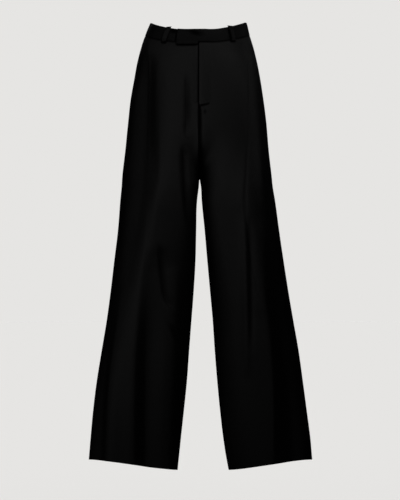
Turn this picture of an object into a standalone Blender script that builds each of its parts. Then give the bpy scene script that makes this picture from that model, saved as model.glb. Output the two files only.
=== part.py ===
"""Straight-leg trousers, filled out as if worn, standing in their own hollow form.

Metres, +Z up. The front faces -Y, so the wearer's right leg is at -X. The
origin is the centre of the waist opening, at the mean height of its rim.
Each leg is a front and a back panel between a side seam and an inseam, the
two legs meet along one seat seam, and a shaped two-piece waistband closes
with a tab that laps the wearer's left end over the right one.
"""

import math
from collections import namedtuple

import bmesh
import bpy
import numpy as np

COLLECTION_NAME = "straight_leg_trousers"

CLOTH_WALL = 0.0020
HEM_WALL = 0.0028
HEM_TURN_UP = 0.036
SEAM_GAP = 0.0003

# The eye-level plane that the hem openings lean towards.
EYE_HEIGHT = -0.575
EYE_DISTANCE = 3.5

CROTCH_HEIGHT = -0.392
RISE_CURVE_TOP = -0.305
HIP_BLEND_TOP = -0.235
THIGH_BLEND_END = -0.470
INSEAM_EASE = 0.30
RISE_CURVE_POWER = 0.80
THIGH_CORNER = 4.6
THIGH_SQUARE_TO = -0.80

HEM_OUTER_HEIGHT = -1.1200
HEM_DROP_TO_INSEAM = 0.0268
HEM_POINTEDNESS = 0.55

BAND_HEIGHT = 0.033
BAND_WALL = 0.0028
BAND_STAND_OFF = 0.0004
SIDE_SQUARENESS = 0.90
FRONT_SQUARENESS = 0.86

FLY_BOTTOM = -0.211
FLY_RAMP = 0.007
FLY_EDGE = -0.0013
FLY_UNDERLAP = 0.009
FLY_LIFT = 0.0028
FLY_FLAT_TO = 0.012
FLY_WIDTH = 0.027

TAB_STATIONS = (0.0550, 0.0470, 0.0390, 0.0310, 0.0230, 0.0150, 0.0080, 0.0048, 0.0024)
TAB_STEP = 0.0036
TAB_EXTRA_DROP = 0.0065
TAB_STAND_OFF = BAND_STAND_OFF + 0.00045 + BAND_WALL

LOOP_WIDTH = 0.0140
LOOP_WALL = 0.0018
LOOP_RISE = 0.0022
LOOP_DROP = 0.0070
LOOP_BOW = 0.0028
LOOP_COLUMNS = 4
LOOP_ROWS = 10

# Each row is one level cut through the garment. Widths run from the centre
# front line to the side seams and, below the crotch, to the inseams.
Section = namedtuple(
    "Section",
    "height right_out right_in left_in left_out front_depth back_depth",
)
SECTIONS = (
    Section(0.0260, 0.1240, 0.0000, 0.0000, 0.1185, 0.0850, 0.0870),
    Section(0.0117, 0.1282, 0.0000, 0.0000, 0.1227, 0.0870, 0.0890),
    Section(-0.0091, 0.1365, 0.0000, 0.0000, 0.1274, 0.0900, 0.0930),
    Section(-0.0299, 0.1451, 0.0000, 0.0000, 0.1339, 0.0940, 0.0990),
    Section(-0.0559, 0.1531, 0.0000, 0.0000, 0.1417, 0.0985, 0.1070),
    Section(-0.0819, 0.1604, 0.0000, 0.0000, 0.1477, 0.1020, 0.1130),
    Section(-0.1339, 0.1703, 0.0000, 0.0000, 0.1573, 0.1070, 0.1220),
    Section(-0.1859, 0.1794, 0.0000, 0.0000, 0.1654, 0.1100, 0.1270),
    Section(-0.2379, 0.1851, 0.0000, 0.0000, 0.1724, 0.1110, 0.1270),
    Section(-0.3159, 0.1929, 0.0000, 0.0000, 0.1794, 0.1090, 0.1210),
    Section(-0.3920, 0.2013, 0.0004, 0.0004, 0.1883, 0.1040, 0.1120),
    Section(-0.4043, 0.2020, 0.0013, 0.0028, 0.1895, 0.1030, 0.1105),
    Section(-0.4459, 0.2059, 0.0062, 0.0056, 0.1963, 0.0985, 0.1055),
    Section(-0.5239, 0.2122, 0.0083, 0.0132, 0.2072, 0.0905, 0.0970),
    Section(-0.6019, 0.2218, 0.0100, 0.0198, 0.2189, 0.0835, 0.0885),
    Section(-0.6799, 0.2311, 0.0144, 0.0268, 0.2311, 0.0770, 0.0805),
    Section(-0.7579, 0.2418, 0.0203, 0.0338, 0.2444, 0.0710, 0.0735),
    Section(-0.8359, 0.2548, 0.0262, 0.0390, 0.2582, 0.0655, 0.0670),
    Section(-0.9139, 0.2675, 0.0318, 0.0452, 0.2691, 0.0600, 0.0610),
    Section(-0.9919, 0.2772, 0.0398, 0.0527, 0.2795, 0.0550, 0.0555),
    Section(-1.0699, 0.2844, 0.0482, 0.0619, 0.2896, 0.0505, 0.0505),
    Section(-1.1188, 0.2886, 0.0532, 0.0696, 0.2938, 0.0480, 0.0475),
    Section(-1.1560, 0.2920, 0.0570, 0.0768, 0.2975, 0.0465, 0.0460),
)
SECTION_HEIGHTS = np.array([row.height for row in SECTIONS])[::-1]

# Heights of the waistband's top edge, by share of the way from the centre
# front to the side seam, and then from the side seam to the centre back.
Rim = namedtuple("Rim", "share right left")
FRONT_RIM = (
    Rim(0.00, -0.0150, -0.0150),
    Rim(0.19, -0.0145, -0.0138),
    Rim(0.31, -0.0115, -0.0096),
    Rim(0.51, -0.0034, -0.0011),
    Rim(0.67, 0.0038, 0.0060),
    Rim(0.82, 0.0100, 0.0116),
    Rim(1.00, 0.0137, 0.0143),
)
BACK_RIM = (
    Rim(0.00, 0.0137, 0.0143),
    Rim(0.30, 0.0134, 0.0138),
    Rim(0.65, 0.0123, 0.0125),
    Rim(1.00, 0.0118, 0.0118),
)

# The largest folds. Each runs down one panel through its points, and falls off
# by its own width to each side. Roundness 2 is a soft crest, 1.3 a pressed one.
# A point is (height, distance across, lift); a lift below 0 sinks in.
Fold = namedtuple("Fold", "panel left_width right_width roundness points")
FOLDS = (
    Fold(
        "front_right", 0.018, 0.050, 2.0,
        ((-0.055, -0.100, 0.0), (-0.10, -0.106, 0.0045), (-0.25, -0.112, 0.0065),
         (-0.38, -0.114, 0.0065), (-0.50, -0.119, 0.004), (-0.64, -0.130, 0.0)),
    ),
    Fold(
        "front_right", 0.026, 0.022, 2.0,
        ((-0.055, -0.140, 0.0), (-0.12, -0.148, -0.007), (-0.30, -0.158, -0.009),
         (-0.45, -0.167, -0.008), (-0.58, -0.180, -0.004), (-0.70, -0.194, 0.0)),
    ),
    Fold(
        "front_right", 0.030, 0.012, 1.5,
        ((-0.42, -0.133, 0.0), (-0.54, -0.1385, 0.003), (-0.665, -0.1485, 0.0055),
         (-0.83, -0.162, 0.006), (-0.985, -0.1673, 0.006), (-1.17, -0.168, 0.0055)),
    ),
    Fold(
        "front_right", 0.016, 0.045, 1.8,
        ((-0.56, -0.116, 0.0), (-0.68, -0.128, -0.004), (-0.83, -0.136, -0.009),
         (-0.985, -0.140, -0.010), (-1.17, -0.141, -0.010)),
    ),
    Fold(
        "front_right", 0.014, 0.030, 2.0,
        ((-0.64, -0.194, 0.0), (-0.78, -0.213, 0.005), (-0.90, -0.230, 0.007),
         (-1.17, -0.246, 0.006)),
    ),
    Fold(
        "front_left", 0.060, 0.020, 2.0,
        ((-0.055, 0.115, 0.0), (-0.10, 0.124, 0.0045), (-0.25, 0.142, 0.0075),
         (-0.40, 0.150, 0.008), (-0.52, 0.155, 0.006), (-0.62, 0.160, 0.004),
         (-0.76, 0.170, 0.0)),
    ),
    Fold(
        "front_left", 0.035, 0.013, 1.5,
        ((-0.48, 0.152, 0.0), (-0.60, 0.160, 0.003), (-0.70, 0.167, 0.005),
         (-0.78, 0.1785, 0.006), (-0.88, 0.1855, 0.006), (-1.17, 0.189, 0.0055)),
    ),
    Fold(
        "front_left", 0.028, 0.028, 2.0,
        ((-0.54, 0.193, 0.0), (-0.68, 0.205, -0.007), (-0.80, 0.217, -0.012),
         (-0.95, 0.232, -0.013), (-1.17, 0.244, -0.011)),
    ),
    Fold(
        "back_right", 0.026, 0.026, 1.5,
        ((-0.08, -0.105, 0.0), (-0.20, -0.107, 0.004), (-0.60, -0.120, 0.0065),
         (-1.17, -0.168, 0.0065)),
    ),
    Fold(
        "back_left", 0.026, 0.026, 1.5,
        ((-0.08, 0.103, 0.0), (-0.20, 0.106, 0.004), (-0.60, 0.124, 0.0065),
         (-1.17, 0.184, 0.0065)),
    ),
)

PANEL_SHARES = (
    (0.0, 0.03, 0.06, 0.09, 0.12)
    + tuple(np.linspace(0.17, 0.92, 14).tolist())
    + (0.97, 1.0)
)


def smoothstep(value):
    held = min(max(value, 0.0), 1.0)
    return held * held * (3.0 - 2.0 * held)


def through_rows(places, values, place):
    """A smooth curve through a table's rows, held level past its ends."""
    place = min(max(place, places[0]), places[-1])
    slopes = np.gradient(values, places)
    row = int(np.clip(np.searchsorted(places, place) - 1, 0, len(places) - 2))
    span = places[row + 1] - places[row]
    t = (place - places[row]) / span
    start = (1 + 2 * t) * (1 - t) ** 2 * values[row]
    start += t * (1 - t) ** 2 * span * slopes[row]
    end = t * t * (3 - 2 * t) * values[row + 1]
    end += t * t * (t - 1) * span * slopes[row + 1]
    return float(start + end)


def section_size(column, height):
    values = np.array([getattr(row, column) for row in SECTIONS])[::-1]
    return through_rows(SECTION_HEIGHTS, values, height)


def rim_height(side, face, share):
    """Height of the band's top edge; share runs from the centre to the side seam."""
    rows = FRONT_RIM if face == "front" else BACK_RIM
    place = share if face == "front" else 1.0 - share
    places = np.array([row.share for row in rows])
    values = np.array([getattr(row, side) for row in rows])
    return through_rows(places, values, place)


def band_ring(side, face, share, height, grow):
    """One point of the rounded waist section, grown outwards by grow."""
    across = section_size(side + "_out", height) + grow
    deep = section_size(face + "_depth", height) + grow
    turn = 0.5 * math.pi * share
    x = across * max(math.sin(turn), 0.0) ** SIDE_SQUARENESS
    y = deep * max(math.cos(turn), 0.0) ** FRONT_SQUARENESS
    return x, y


def rise_blend(height, share):
    """0 where the two halves share one hollow, 1 where each leg is a tube."""
    drop = (RISE_CURVE_TOP - height) / (RISE_CURVE_TOP - CROTCH_HEIGHT)
    drop = min(max(drop, 0.0), 1.0)
    at_seam = 1.0 - (1.0 - drop * drop) ** RISE_CURVE_POWER
    away = smoothstep((HIP_BLEND_TOP - height) / (HIP_BLEND_TOP - THIGH_BLEND_END))
    ease = 1.0 - max(1.0 - share / INSEAM_EASE, 0.0) ** 2
    return at_seam * (1.0 - ease) + away * ease


def below_crotch(height):
    return smoothstep((CROTCH_HEIGHT - height) / (CROTCH_HEIGHT - HEM_OUTER_HEIGHT))


def row_height(side, face, share, level):
    """Height of a row at one share: bent to the band above, square to the leg below."""
    seam_bend = rim_height(side, face, share) - FRONT_RIM[0].right
    fade = smoothstep((level + 0.200) / 0.152)
    height = level + seam_bend * fade
    across = 0.5 - 0.5 * math.cos(math.pi * share)
    return height - HEM_DROP_TO_INSEAM * (1.0 - across) * below_crotch(level)


def leg_roundness(share, leg_share, height):
    """Share of a leg's depth; the thigh is squarer between its crease and inseam."""
    rounded = math.sin(math.pi * share)
    if share >= 0.5:
        return rounded
    squared = smoothstep((height - THIGH_SQUARE_TO) / 0.40)
    to_crease = min(max(1.0 - 2.0 * leg_share, 0.0), 1.0)
    square = max(1.0 - to_crease**THIGH_CORNER, 0.0) ** (1.0 / THIGH_CORNER)
    return rounded * (1.0 - squared) + square * squared


def bare_point(side, face, share, level, inset):
    """One point of a panel before folds, as distances from the centre planes."""
    height = row_height(side, face, share, level)
    outer = section_size(side + "_out", height) - inset
    inner = section_size(side + "_in", height) + inset
    deep = section_size(face + "_depth", height) - inset
    turn = 0.5 * math.pi * share
    hip_x = outer * math.sin(turn) ** SIDE_SQUARENESS
    hip_y = deep * max(math.cos(turn), 0.0) ** FRONT_SQUARENESS
    pointed = HEM_POINTEDNESS * below_crotch(level)
    round_share = 0.5 - 0.5 * math.cos(math.pi * share)
    leg_share = round_share * (1.0 - pointed) + share * pointed
    leg_x = inner + (outer - inner) * leg_share
    leg_y = deep * leg_roundness(share, leg_share, height)
    blend = rise_blend(height, share)
    x = hip_x * (1.0 - blend) + leg_x * blend
    y = hip_y * (1.0 - blend) + leg_y * blend
    return x, max(y, 0.0), height


def outward(side, face, share, level):
    """The level outward direction of a panel at one point."""
    step = 0.01
    before = bare_point(side, face, max(share - step, 0.0), level, 0.0)
    after = bare_point(side, face, min(share + step, 1.0), level, 0.0)
    run_x = after[0] - before[0]
    run_y = after[1] - before[1]
    length = math.hypot(run_x, run_y)
    return -run_y / length, run_x / length


def fold_lift(panel, share, x, height):
    """How far the folds of one panel move it outwards at one point."""
    total = 0.0
    for fold in FOLDS:
        if fold.panel != panel:
            continue
        heights, across, lifts = np.array(fold.points)[::-1].T
        if not heights[0] < height < heights[-1]:
            continue
        off_line = x - through_rows(heights, across, height)
        width = fold.left_width if off_line < 0.0 else fold.right_width
        falling = math.exp(-(abs(off_line / width) ** fold.roundness))
        total += through_rows(heights, lifts, height) * falling
    edges = smoothstep(share / 0.10) * smoothstep((1.0 - share) / 0.10)
    return total * edges


def fly_lift(height):
    return FLY_LIFT * smoothstep((height - FLY_BOTTOM) / FLY_RAMP)


def fly_opening(height):
    """The fronts lap only where the upper one already stands clear of the other."""
    return smoothstep((height - FLY_BOTTOM - FLY_RAMP) / FLY_RAMP)


def lap_of_fly(side, share, height, x):
    """Sideways and outward shifts where the left front laps over the right one."""
    open_here = fly_opening(height)
    near = max(1.0 - share / 0.06, 0.0)
    if side == "left":
        shift = (FLY_EDGE - 0.5 * SEAM_GAP) * near * open_here
        flat = (x - FLY_FLAT_TO) / (FLY_WIDTH - FLY_FLAT_TO)
        return shift, fly_lift(height) * (1.0 - smoothstep(flat))
    return -(FLY_UNDERLAP + 0.5 * SEAM_GAP) * near * open_here, 0.0


def panel_wall(height):
    """The cloth's wall, doubled inwards where the hem is turned up."""
    above_hem = height - (HEM_OUTER_HEIGHT - HEM_DROP_TO_INSEAM)
    doubled = 1.0 - smoothstep((above_hem - HEM_TURN_UP) / 0.006)
    return CLOTH_WALL + (HEM_WALL - CLOTH_WALL) * doubled


def panel_point(side, face, share, level, inset):
    """A finished point; the inside face is a section smaller by inset."""
    x, y, height = bare_point(side, face, share, level, inset)
    out_x, out_y = outward(side, face, share, level)
    sign_x = -1.0 if side == "right" else 1.0
    flat_x, _, _ = bare_point(side, face, share, level, 0.0)
    lift = fold_lift(face + "_" + side, share, sign_x * flat_x, height)
    x += out_x * lift
    y += out_y * lift
    x = max(x, 0.5 * SEAM_GAP)
    y = max(y, 0.5 * SEAM_GAP)
    if face == "front":
        shift, raised = lap_of_fly(side, share, height, x)
        x += shift
        y += raised
    sign_y = -1.0 if face == "front" else 1.0
    lean = below_crotch(level) * (EYE_HEIGHT - height) / EYE_DISTANCE
    return sign_x * x, sign_y * y, height - sign_y * y * lean


def panel_levels():
    """Row levels from the waist seam to the hem, closest at the crotch curve."""
    first = FRONT_RIM[0].right - BAND_HEIGHT - SEAM_GAP
    fly = FLY_BOTTOM + 2.0 * FLY_RAMP
    hips = np.linspace(first, fly, 8).tolist()
    hips += [FLY_BOTTOM + FLY_RAMP, FLY_BOTTOM]
    hips += np.linspace(FLY_BOTTOM, RISE_CURVE_TOP, 5)[1:].tolist()
    curve = [
        RISE_CURVE_TOP + (CROTCH_HEIGHT - RISE_CURVE_TOP) * math.sin(0.5 * math.pi * step)
        for step in np.linspace(0.16, 1.0, 8)
    ]
    turn_up = HEM_OUTER_HEIGHT + HEM_TURN_UP
    legs = np.linspace(CROTCH_HEIGHT, turn_up, 21)[1:].tolist()
    hem = np.linspace(turn_up, HEM_OUTER_HEIGHT, 4)[1:].tolist()
    return hips + curve + legs + hem


def shell(name, outer, inner, material, smooth=True):
    """A closed wall between two grids of points of the same size."""
    rows = len(outer)
    columns = len(outer[0])
    mesh = bmesh.new()
    skins = []
    for grid in (outer, inner):
        skins.append([[mesh.verts.new(point) for point in row] for row in grid])
    top, under = skins
    for i in range(rows - 1):
        for j in range(columns - 1):
            mesh.faces.new((top[i][j], top[i][j + 1], top[i + 1][j + 1], top[i + 1][j]))
            mesh.faces.new(
                (under[i][j], under[i + 1][j], under[i + 1][j + 1], under[i][j + 1])
            )
    border = [(0, j) for j in range(columns)]
    border += [(i, columns - 1) for i in range(1, rows)]
    border += [(rows - 1, j) for j in range(columns - 2, -1, -1)]
    border += [(i, 0) for i in range(rows - 2, 0, -1)]
    for here, there in zip(border, border[1:] + border[:1]):
        mesh.faces.new(
            (
                top[here[0]][here[1]],
                under[here[0]][here[1]],
                under[there[0]][there[1]],
                top[there[0]][there[1]],
            )
        )
    bmesh.ops.recalc_face_normals(mesh, faces=mesh.faces)
    data = bpy.data.meshes.new(name)
    mesh.to_mesh(data)
    mesh.free()
    for polygon in data.polygons:
        polygon.use_smooth = smooth
    data.materials.append(material)
    piece = bpy.data.objects.new(name, data)
    bpy.data.collections[COLLECTION_NAME].objects.link(piece)
    return piece


def make_panel(side, face, material):
    """One leg panel, from the waist seam to the hem."""
    levels = panel_levels()
    outer = []
    inner = []
    for level in levels:
        outer_row = []
        inner_row = []
        for share in PANEL_SHARES:
            wall = panel_wall(row_height(side, face, share, level))
            outer_row.append(panel_point(side, face, share, level, 0.0))
            inner_row.append(panel_point(side, face, share, level, wall))
        outer.append(outer_row)
        inner.append(inner_row)
    return shell(f"leg_{face}_{side}", outer, inner, material)


def band_points(stations, heights, stand_off, wall):
    """Grids of points for a strip of band; a station is side, face, share."""
    outer = []
    inner = []
    for row, drop in enumerate(heights):
        outer_row = []
        inner_row = []
        for column, station in enumerate(stations):
            side, face, share = station
            height = rim_height(side, face, share) - drop[column]
            sign_x = -1.0 if side == "right" else 1.0
            sign_y = -1.0 if face == "front" else 1.0
            grow = stand_off[row][column]
            x, y = band_ring(side, face, share, height, grow)
            outer_row.append((sign_x * max(x, 0.5 * SEAM_GAP), sign_y * y, height))
            x, y = band_ring(side, face, share, height, grow - wall)
            inner_row.append((sign_x * max(x, 0.5 * SEAM_GAP), sign_y * y, height))
        outer.append(outer_row)
        inner.append(inner_row)
    return outer, inner


def half_ring(side):
    """Stations from the centre front round one side to the centre back."""
    front = [(side, "front", share) for share in np.linspace(0.0, 1.0, 21)]
    back = [(side, "back", share) for share in np.linspace(1.0, 0.0, 21)[1:]]
    return front + back


def lapped_stations(side, reaches):
    """Front stations at these distances past the centre front, on one side."""
    across = section_size(side + "_out", FRONT_RIM[0].right - 0.5 * BAND_HEIGHT)
    stations = []
    for reach in reaches:
        turn = math.asin((reach / across) ** (1.0 / SIDE_SQUARENESS))
        stations.append((side, "front", 2.0 * turn / math.pi))
    return stations


def make_band_right(material):
    """The wearer's right half, whose front end runs on under the other half."""
    lapped = lapped_stations("left", (FLY_UNDERLAP, 0.5 * FLY_UNDERLAP))
    stations = lapped + half_ring("right")
    drops = [[BAND_HEIGHT * step] * len(stations) for step in (0.0, 0.33, 0.67, 1.0)]
    stand_off = [[BAND_STAND_OFF] * len(stations) for _ in drops]
    outer, inner = band_points(stations, drops, stand_off, BAND_WALL)
    shift_lapped(outer, inner, len(lapped))
    return shell("waistband_right", outer, inner, material)


def make_band_left(material):
    """The wearer's left half, whose front end is the closing tab."""
    lapped = lapped_stations("right", TAB_STATIONS)
    stations = lapped + half_ring("left")
    stand_off_row = []
    drop_row = []
    for index, (side, face, share) in enumerate(stations):
        x, _ = band_ring(side, face, share, 0.0, 0.0)
        past_front = index < len(lapped)
        signed = -x if past_front else x
        if face == "back":
            signed = 1.0
        flat = (signed - FLY_FLAT_TO) / (FLY_WIDTH - FLY_FLAT_TO)
        lapping = 1.0 - smoothstep(flat)
        rise = TAB_STAND_OFF - BAND_STAND_OFF
        stand_off_row.append(BAND_STAND_OFF + rise * lapping)
        drop_row.append(TAB_EXTRA_DROP if signed < -TAB_STEP else 0.0)
    drops = []
    for step in (0.0, 0.33, 0.67, 1.0):
        drops.append([(BAND_HEIGHT + extra) * step for extra in drop_row])
    stand_off = [stand_off_row for _ in drops]
    outer, inner = band_points(stations, drops, stand_off, BAND_WALL)
    shift_lapped(outer, inner, len(lapped))
    return shell("waistband_left", outer, inner, material)


def shift_lapped(outer, inner, count):
    """Puts the station at the centre front on the centre plane itself."""
    for grid in (outer, inner):
        for row in grid:
            _, y, height = row[count]
            row[count] = (0.0, y, height)


def loop_station(side, face, share, sideways, height, grow):
    """A point moved sideways along the waist from one station."""
    step = 0.01
    here = band_ring(side, face, share, height, grow)
    there = band_ring(side, face, share + step, height, grow)
    length = math.hypot(there[0] - here[0], there[1] - here[1])
    return band_ring(side, face, share + step * sideways / length, height, grow)


def make_loop(name, side, face, share, material):
    """A belt loop: a narrow strip over the band, bowed out between its ends."""
    top = rim_height(side, face, share) + LOOP_RISE
    bottom = rim_height(side, face, share) - BAND_HEIGHT - LOOP_DROP
    sign_x = -1.0 if side == "right" else 1.0
    sign_y = -1.0 if face == "front" else 1.0
    outer = []
    inner = []
    for row in range(LOOP_ROWS + 1):
        along = row / LOOP_ROWS
        height = top + (bottom - top) * along
        bow = LOOP_BOW * smoothstep(along / 0.3) * smoothstep((1.0 - along) / 0.3)
        clear = BAND_STAND_OFF + SEAM_GAP + 0.0003 + bow
        outer_row = []
        inner_row = []
        for column in range(LOOP_COLUMNS + 1):
            sideways = LOOP_WIDTH * (column / LOOP_COLUMNS - 0.5)
            if share == 0.0:
                x = sideways
                _, y = band_ring(side, face, 0.0, height, clear)
                outer_row.append((x, sign_y * (y + LOOP_WALL), height))
                inner_row.append((x, sign_y * y, height))
                continue
            x, y = loop_station(side, face, share, sideways, height, clear + LOOP_WALL)
            outer_row.append((sign_x * x, sign_y * y, height))
            x, y = loop_station(side, face, share, sideways, height, clear)
            inner_row.append((sign_x * x, sign_y * y, height))
        outer.append(outer_row)
        inner.append(inner_row)
    return shell(name, outer, inner, material)


def cloth_material(name, shade, roughness):
    material = bpy.data.materials.new(name)
    material.use_nodes = True
    shader = material.node_tree.nodes["Principled BSDF"]
    shader.inputs["Base Color"].default_value = (*shade, 1.0)
    shader.inputs["Roughness"].default_value = roughness
    shader.inputs["Sheen Weight"].default_value = 0.2
    material.diffuse_color = (*shade, 1.0)
    return material


def clear_scene():
    for thing in list(bpy.data.objects):
        bpy.data.objects.remove(thing, do_unlink=True)


def build():
    clear_scene()
    holder = bpy.data.collections.new(COLLECTION_NAME)
    bpy.context.scene.collection.children.link(holder)
    panel_cloth = cloth_material("suiting_cloth", (0.0100, 0.0094, 0.0096), 0.75)
    band_cloth = cloth_material("band_cloth", (0.0105, 0.0099, 0.0101), 0.72)
    loop_cloth = cloth_material("loop_cloth", (0.0110, 0.0104, 0.0106), 0.70)
    for side in ("right", "left"):
        for face in ("front", "back"):
            make_panel(side, face, panel_cloth)
    make_band_right(band_cloth)
    make_band_left(band_cloth)
    make_loop("belt_loop_front_right", "right", "front", 0.392, loop_cloth)
    make_loop("belt_loop_front_left", "left", "front", 0.415, loop_cloth)
    make_loop("belt_loop_back_right", "right", "back", 0.520, loop_cloth)
    make_loop("belt_loop_back_left", "left", "back", 0.520, loop_cloth)
    make_loop("belt_loop_centre_back", "right", "back", 0.0, loop_cloth)


build()
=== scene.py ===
import math

import bpy
import numpy as np
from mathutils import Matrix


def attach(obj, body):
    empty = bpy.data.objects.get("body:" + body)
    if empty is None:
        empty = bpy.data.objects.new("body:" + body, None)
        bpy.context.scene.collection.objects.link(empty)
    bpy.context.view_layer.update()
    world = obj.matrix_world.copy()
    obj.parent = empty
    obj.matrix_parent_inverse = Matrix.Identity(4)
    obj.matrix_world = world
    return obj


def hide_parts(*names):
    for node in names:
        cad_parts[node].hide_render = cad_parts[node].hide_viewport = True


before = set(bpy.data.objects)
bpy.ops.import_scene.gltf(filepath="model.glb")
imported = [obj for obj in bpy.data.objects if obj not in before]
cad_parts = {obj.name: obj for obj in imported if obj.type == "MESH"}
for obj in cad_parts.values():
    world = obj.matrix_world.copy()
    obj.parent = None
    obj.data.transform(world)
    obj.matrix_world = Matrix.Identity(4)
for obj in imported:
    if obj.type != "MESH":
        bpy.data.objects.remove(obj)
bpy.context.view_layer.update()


# ------------------------------ The camera
# The trousers are seen square on from in front, from a point level with the
# middle of their length, through a long lens. The eye plane runs through the
# waist, and one metre there is 385 pixels of the 400 by 500 frame.
EYE_DISTANCE = 3.5
EYE_HEIGHT = -0.575
EYE_ACROSS = 0.0013
FRAME_HEIGHT_AT_WAIST = 1.30
SENSOR = 36.0

scene = bpy.context.scene
camera_data = bpy.data.cameras.new("studio_camera")
camera_data.sensor_width = SENSOR
camera_data.lens = SENSOR * EYE_DISTANCE / FRAME_HEIGHT_AT_WAIST
camera = bpy.data.objects.new("studio_camera", camera_data)
camera.location = (EYE_ACROSS, -EYE_DISTANCE, EYE_HEIGHT)
camera.rotation_euler = (math.radians(90.0), 0.0, 0.0)
scene.collection.objects.link(camera)
scene.camera = camera
scene.view_settings.view_transform = "Standard"


# ------------------------------ The pale floor and the light
# The trousers hang by their waist over a plain matt floor, lit so evenly that it
# meets the pale backdrop with no edge. Large soft boxes light the cloth alone,
# because near-black cloth has to be lit apart from its pale surroundings.
PALE = (0.791, 0.783, 0.768)
FLOOR_HEIGHT = -1.50
FLOOR_REACH = 14.0
FLOOR_SUN_SPREAD = math.radians(120.0)

garment = bpy.data.collections.new("trousers")
scene.collection.children.link(garment)
studio = bpy.data.collections.new("studio")
scene.collection.children.link(studio)

backdrop = bpy.data.worlds.new("pale_backdrop")
backdrop.use_nodes = True
backdrop.node_tree.nodes["Background"].inputs["Color"].default_value = (*PALE, 1.0)
for kind in ("diffuse", "glossy", "transmission", "scatter"):
    setattr(backdrop.cycles_visibility, kind, False)
scene.world = backdrop


def new_piece(name, points, faces, group):
    """A mesh object in one of the two groups."""
    mesh = bpy.data.meshes.new(name)
    mesh.from_pydata(points, [], faces)
    piece = bpy.data.objects.new(name, mesh)
    group.objects.link(piece)
    return piece


def new_material(name):
    """A material and its shader."""
    material = bpy.data.materials.new(name)
    material.use_nodes = True
    return material, material.node_tree.nodes["Principled BSDF"]


def set_inputs(node, inputs):
    """Sets each input to a constant, or links it to another node's output."""
    for socket, value in inputs.items():
        if isinstance(value, bpy.types.NodeSocket):
            node.id_data.links.new(value, node.inputs[socket])
        else:
            node.inputs[socket].default_value = value


def floor_disc():
    """A round floor of one fan and a few rings, finer towards the middle."""
    reaches = (0.3, 0.6, 1.0, 1.6, 2.5, 4.0, 7.0, FLOOR_REACH)
    around = 64
    points = [(0.0, 0.0, FLOOR_HEIGHT)]
    faces = []
    for ring, reach in enumerate(reaches):
        inner, outer = 1 + (ring - 1) * around, 1 + ring * around
        for step in range(around):
            turn = 2.0 * math.pi * step / around
            points.append((reach * math.cos(turn), reach * math.sin(turn), FLOOR_HEIGHT))
            after = (step + 1) % around
            if ring == 0:
                faces.append((0, outer + step, outer + after))
            else:
                faces.append((inner + step, outer + step, outer + after, inner + after))
    return new_piece("studio_floor", points, faces, studio)


floor = floor_disc()
floor_paint, shader = new_material("matt_pale_floor")
set_inputs(shader, {"Base Color": (*PALE, 1.0), "Roughness": 1.0, "Specular IOR Level": 0.0})
floor.data.materials.append(floor_paint)
floor.visible_diffuse = False
floor.visible_glossy = False

sun_data = bpy.data.lights.new("floor_light", "SUN")
sun_data.energy = math.pi
sun_data.angle = FLOOR_SUN_SPREAD
sun = bpy.data.objects.new("floor_light", sun_data)
sun.light_linking.receiver_collection = studio
studio.objects.link(sun)

# The soft boxes are aimed at the hips, the legs or the seat, and most of their light
# comes from the right. Azimuth 0 is in front and + to the right, in degrees.
HIPS, SEAT, LEGS = -0.28, -0.55, -0.90
SOFT_BOXES = (
    # name, height aimed at, azimuth, elevation, distance, size, watts
    ("right_high_box", HIPS, 35.0, 62.0, 1.7, 0.70, 0.95),
    ("right_middle_box", HIPS, 35.0, 35.0, 1.5, 0.60, 0.62),
    ("right_low_box", HIPS, 65.0, 14.0, 1.0, 0.42, 0.16),
    ("right_side_box", HIPS, 95.0, 35.0, 1.0, 0.42, 0.13),
    ("front_high_box", HIPS, -5.0, 38.0, 1.8, 0.80, 0.70),
    ("left_high_box", HIPS, -40.0, 38.0, 1.8, 0.80, 0.56),
    ("left_side_box", HIPS, -75.0, 30.0, 1.8, 0.80, 0.42),
    ("left_leg_box", LEGS, -35.0, 2.0, 1.8, 0.70, 0.74),
    ("left_leg_side_box", LEGS, -72.0, 4.0, 1.8, 0.70, 0.26),
    ("front_leg_box", LEGS, -8.0, 22.0, 1.8, 0.70, 0.82),
    ("right_leg_box", LEGS, 18.0, 2.0, 1.8, 0.70, 0.34),
    ("back_right_box", SEAT, 165.0, 50.0, 2.6, 1.50, 5.0),
    ("back_left_box", SEAT, 195.0, 50.0, 2.6, 1.50, 5.0),
)
for name, aimed_at, azimuth, elevation, distance, size, watts in SOFT_BOXES:
    data = bpy.data.lights.new(name, "AREA")
    data.shape = "SQUARE"
    data.size = size
    data.energy = watts
    box = bpy.data.objects.new(name, data)
    turn, rise = math.radians(azimuth), math.radians(elevation)
    box.location = (
        distance * math.sin(turn) * math.cos(rise),
        -distance * math.cos(turn) * math.cos(rise),
        aimed_at + distance * math.sin(rise),
    )
    box.rotation_euler = (math.pi / 2.0 - rise, 0.0, turn)
    box.visible_camera = False
    box.light_linking.receiver_collection = garment
    studio.objects.link(box)


# ------------------------------ The four leg panels
# Two front and two back panels of a plain near-black suiting, sewn along the
# side seams, the inseams and the seat seam. They hang filled out from the
# waist, with a pressed crease down each and a hem turned up inside.
CLOTH_THICKNESS = 0.0013
SEAM_GAP = 0.0003
CROTCH_HEIGHT = -0.392
RISE_CURVE_TOP = -0.305
RISE_CURVE_POWER = 0.80
HIP_BLEND_TOP = -0.235
THIGH_BLEND_END = -0.470
INSEAM_EASE = {"front_right": 0.10, "front_left": 0.20, "back_right": 0.30, "back_left": 0.30}
HEM_HEIGHT = -1.1200
HEM_DROP_TO_INSEAM = 0.0268
HEM_POINTEDNESS = 0.55
BAND_HEIGHT = 0.033
SIDE_SQUARENESS = 0.90
FRONT_SQUARENESS = 0.86
THIGH_CORNER = {"right": 6.5, "left": 4.0}
THIGH_SQUARE_TO = -0.80
THIGH_SQUARE_FADE = 0.40
BAND_BEND_END = -0.200
BAND_BEND_FADE = 0.152

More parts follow.
